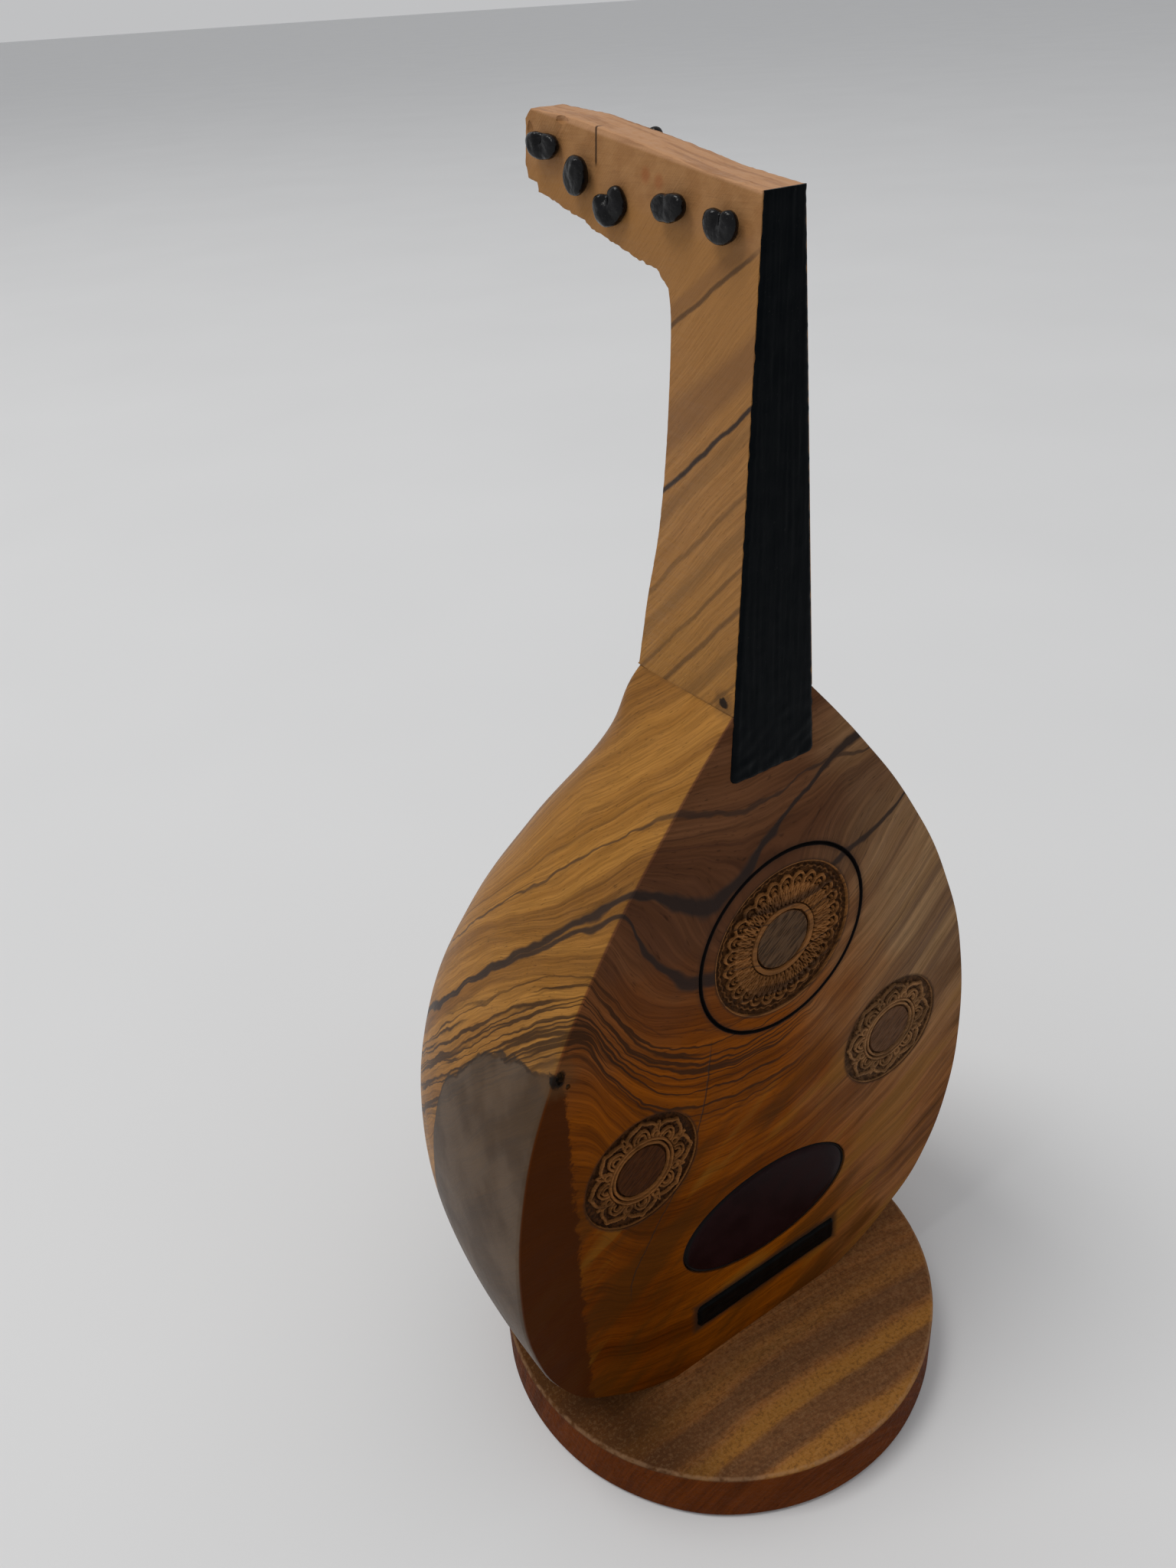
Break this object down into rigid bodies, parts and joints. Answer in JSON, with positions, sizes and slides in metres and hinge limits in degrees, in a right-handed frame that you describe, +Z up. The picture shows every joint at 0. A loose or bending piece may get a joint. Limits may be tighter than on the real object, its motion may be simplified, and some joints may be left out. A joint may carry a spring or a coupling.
{
  "type": "miniature display oud",
  "caption": "Small carved olive-wood oud on a round foot, with burnt rosettes, a black fingerboard strip and a bent-back head with turning pegs.",
  "frame": {"origin": "on the ground, under the middle of the whole oud's box, beneath the foot", "axes": "+Z up along the neck, front of the soundboard towards -Y, +X to the right as seen from the front"},
  "size_m": [0.0716, 0.0654, 0.1556],
  "materials": {
    "foot_wood": "satin, banded olive wood",
    "screw_steel": "plain steel",
    "body_wood": "satin oiled olive wood with dark veins",
    "neck_wood": "satin oiled olive wood",
    "dowel_wood": "bare beech",
    "fingerboard_black": "thick black paint",
    "guard_lacquer": "dark red-brown lacquer",
    "bar_black": "black paint",
    "peg_black": "glossy black"
  },
  "bodies": {
    "oud": {"foot": "foot_wood", "foot_screw": "screw_steel", "body": "body_wood", "neck_and_head": "neck_wood", "neck_dowel": "dowel_wood", "fingerboard": "fingerboard_black", "pick_guard": "guard_lacquer", "bridge_bar": "bar_black"},
    "peg_left_1": {"peg_left_1": "peg_black"},
    "peg_left_2": {"peg_left_2": "peg_black"},
    "peg_left_3": {"peg_left_3": "peg_black"},
    "peg_left_4": {"peg_left_4": "peg_black"},
    "peg_left_5": {"peg_left_5": "peg_black"},
    "peg_right_1": {"peg_right_1": "peg_black"},
    "peg_right_2": {"peg_right_2": "peg_black"},
    "peg_right_3": {"peg_right_3": "peg_black"},
    "peg_right_4": {"peg_right_4": "peg_black"},
    "peg_right_5": {"peg_right_5": "peg_black"}
  },
  "joints": [
    {"name": "peg_left_1_turn", "type": "hinge", "parent": "oud", "child": "peg_left_1", "pos_m": [-0.00247, -0.00796, 0.1481], "axis": [-1, 0, 0], "continuous": true},
    {"name": "peg_left_2_turn", "type": "hinge", "parent": "oud", "child": "peg_left_2", "pos_m": [-0.00242, -0.00106, 0.1489], "axis": [-1, 0, 0], "continuous": true},
    {"name": "peg_left_3_turn", "type": "hinge", "parent": "oud", "child": "peg_left_3", "pos_m": [-0.00246, 0.00774, 0.1483], "axis": [-1, 0, 0], "continuous": true},
    {"name": "peg_left_4_turn", "type": "hinge", "parent": "oud", "child": "peg_left_4", "pos_m": [-0.00232, 0.01274, 0.1504], "axis": [-1, 0, 0], "continuous": true},
    {"name": "peg_left_5_turn", "type": "hinge", "parent": "oud", "child": "peg_left_5", "pos_m": [-0.00218, 0.01844, 0.1527], "axis": [-1, 0, 0], "continuous": true},
    {"name": "peg_right_1_turn", "type": "hinge", "parent": "oud", "child": "peg_right_1", "pos_m": [0.00246, -0.00466, 0.1483], "axis": [1, 0, 0], "continuous": true},
    {"name": "peg_right_2_turn", "type": "hinge", "parent": "oud", "child": "peg_right_2", "pos_m": [0.00241, 0.00274, 0.1491], "axis": [1, 0, 0], "continuous": true},
    {"name": "peg_right_3_turn", "type": "hinge", "parent": "oud", "child": "peg_right_3", "pos_m": [0.00218, 0.00934, 0.1527], "axis": [1, 0, 0], "continuous": true},
    {"name": "peg_right_4_turn", "type": "hinge", "parent": "oud", "child": "peg_right_4", "pos_m": [0.00228, 0.01504, 0.1511], "axis": [1, 0, 0], "continuous": true},
    {"name": "peg_right_5_turn", "type": "hinge", "parent": "oud", "child": "peg_right_5", "pos_m": [0.00227, 0.01974, 0.1513], "axis": [1, 0, 0], "continuous": true}
  ]
}
